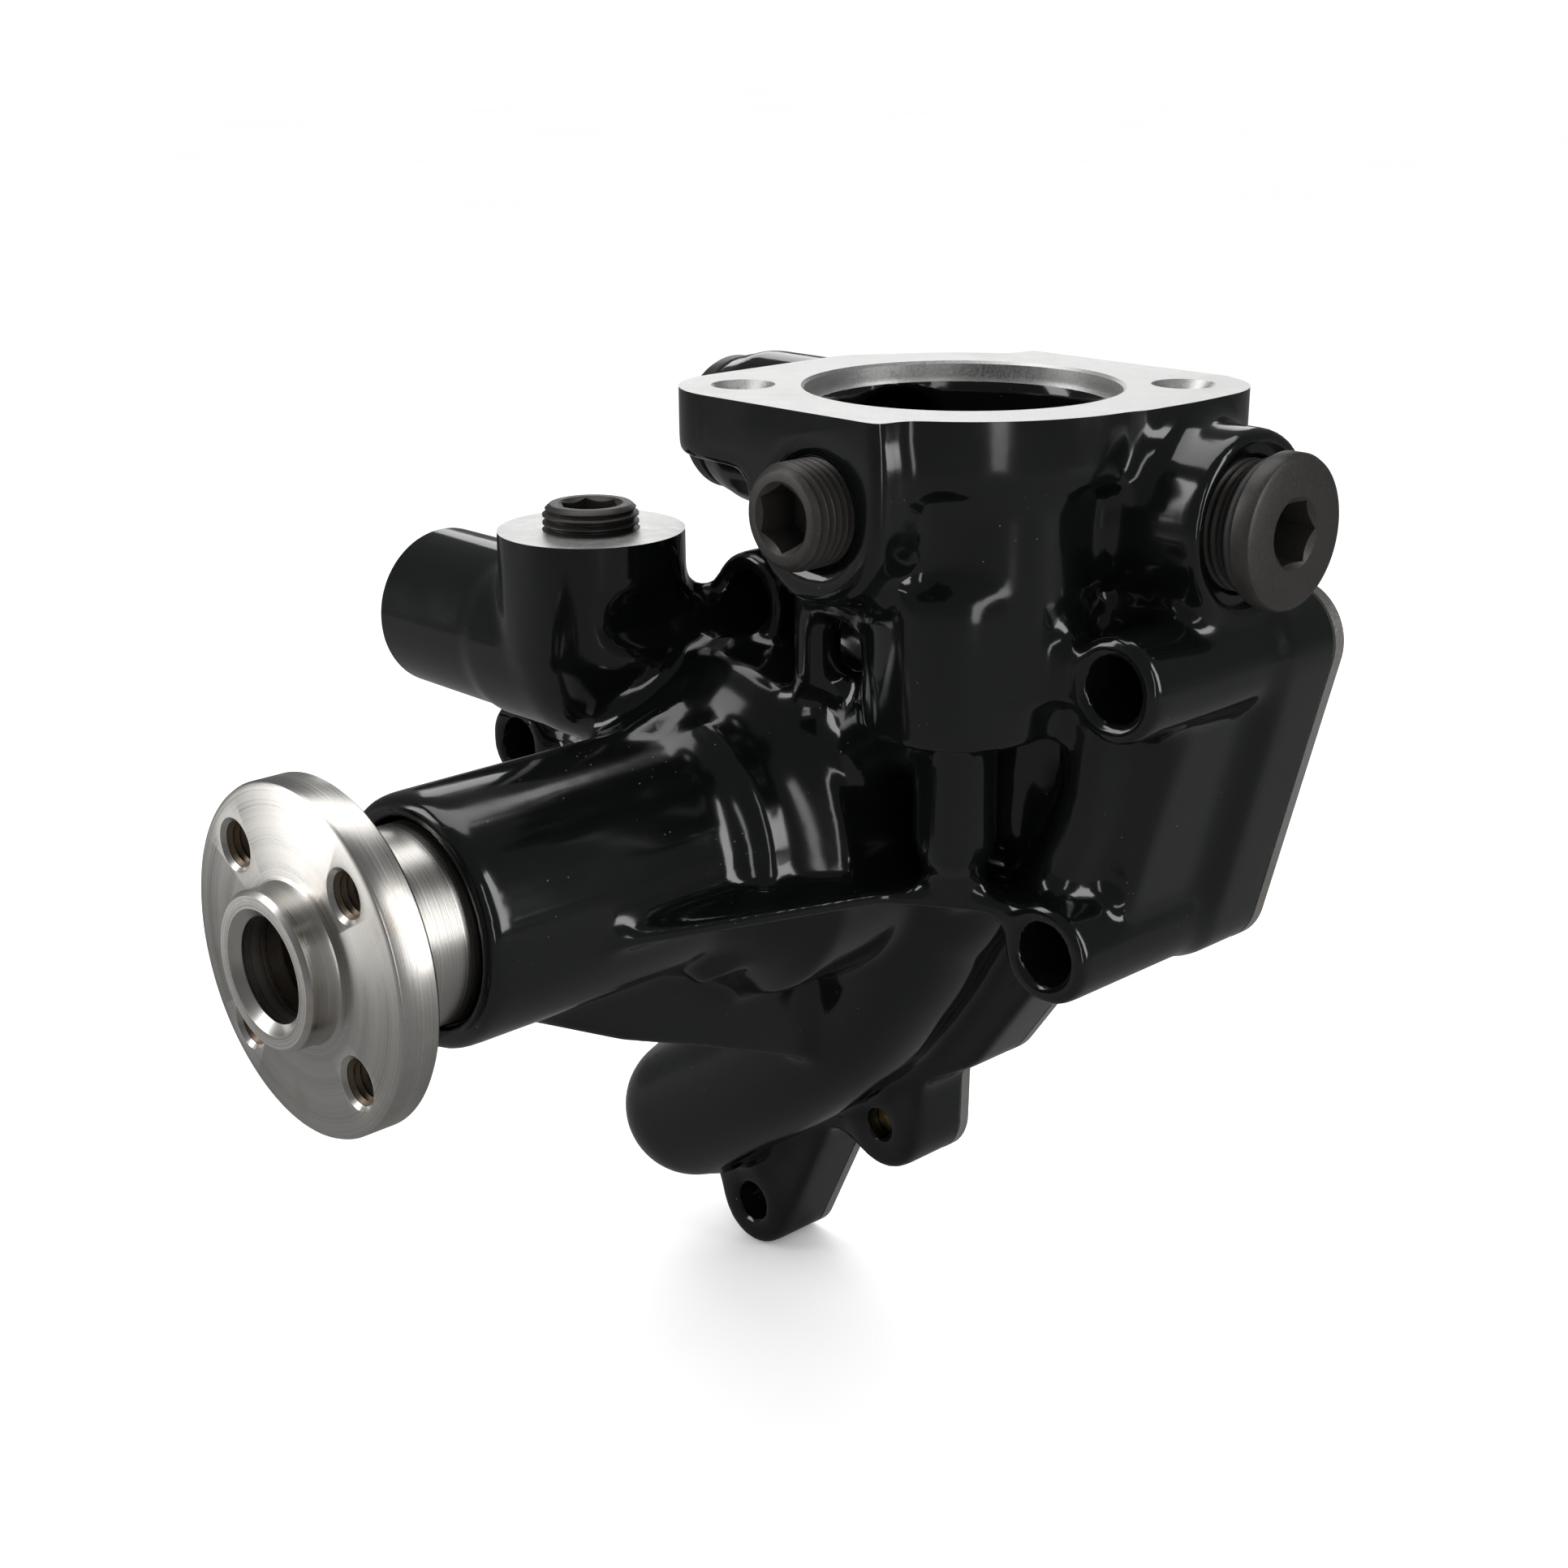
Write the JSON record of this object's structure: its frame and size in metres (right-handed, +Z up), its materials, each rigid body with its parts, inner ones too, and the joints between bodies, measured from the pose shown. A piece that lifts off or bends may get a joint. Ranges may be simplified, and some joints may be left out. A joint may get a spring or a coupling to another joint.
{
  "type": "engine water pump",
  "caption": "Cast engine water pump with pulley hub on a bearing nose, hose inlet, volute and an open thermostat housing with hex-socket plugs",
  "frame": {"origin": "on the shaft axis, in the rear face of the back plate that seats on the engine block", "axes": "+Y points into the engine along the shaft, -Y towards the pulley hub, +Z up through the thermostat cover face"},
  "size_m": [0.1856, 0.1645, 0.2088],
  "materials": {
    "pump_housing": "gloss black enamel over cast iron, machined faces bare",
    "back_plate": "bare ground steel",
    "back_plate_gasket": "compressed fibre gasket",
    "back_plate_screws": "yellow zinc",
    "hub_flange": "fine turned steel, oiled",
    "pump_shaft": "ground steel",
    "bearing_outer_race": "ground bearing steel",
    "bearing_balls": "polished bearing steel",
    "ball_cage": "natural glass-filled nylon",
    "bearing_rollers": "polished bearing steel",
    "roller_cage": "natural glass-filled nylon",
    "front_bearing_seal": "black nitrile",
    "rear_bearing_seal": "black nitrile",
    "slinger": "pressed steel",
    "seal_cup": "deep-drawn brass",
    "seal_bellows": "black nitrile",
    "seal_spring": "spring wire",
    "carbon_ring": "lapped carbon",
    "mating_ring": "sintered ceramic",
    "mating_ring_boot": "black nitrile",
    "impeller": "bare cast iron",
    "front_plug": "black oxide",
    "right_side_plug": "black oxide",
    "left_side_plug": "black oxide",
    "inlet_plug": "black oxide",
    "plug_seal_ring": "black nitrile"
  },
  "bodies": {
    "housing": {"pump_housing": "pump_housing", "back_plate": "back_plate", "back_plate_gasket": "back_plate_gasket", "back_plate_screws": "back_plate_screws", "bearing_outer_race": "bearing_outer_race", "front_bearing_seal": "front_bearing_seal", "rear_bearing_seal": "rear_bearing_seal", "seal_cup": "seal_cup", "seal_bellows": "seal_bellows", "seal_spring": "seal_spring", "carbon_ring": "carbon_ring", "front_plug": "front_plug", "right_side_plug": "right_side_plug", "left_side_plug": "left_side_plug", "inlet_plug": "inlet_plug", "plug_seal_ring": "plug_seal_ring"},
    "rotor": {"hub_flange": "hub_flange", "pump_shaft": "pump_shaft", "slinger": "slinger", "mating_ring": "mating_ring", "mating_ring_boot": "mating_ring_boot", "impeller": "impeller"},
    "ball_row": {"bearing_balls": "bearing_balls", "ball_cage": "ball_cage"},
    "roller_row": {"bearing_rollers": "bearing_rollers", "roller_cage": "roller_cage"}
  },
  "joints": [
    {"name": "shaft_spin", "type": "hinge", "parent": "housing", "child": "rotor", "pos_m": [0, -0.1, 0], "axis": [0, 1, 0], "continuous": true},
    {"name": "ball_orbit", "type": "hinge", "parent": "housing", "child": "ball_row", "pos_m": [0, -0.112, 0], "axis": [0, 1, 0], "continuous": true},
    {"name": "roller_orbit", "type": "hinge", "parent": "housing", "child": "roller_row", "pos_m": [0, -0.093, 0], "axis": [0, 1, 0], "continuous": true}
  ],
  "couplings": [
    {"joint": "ball_orbit", "follows": "shaft_spin", "ratio": 0.3586},
    {"joint": "roller_orbit", "follows": "shaft_spin", "ratio": 0.3917}
  ]
}
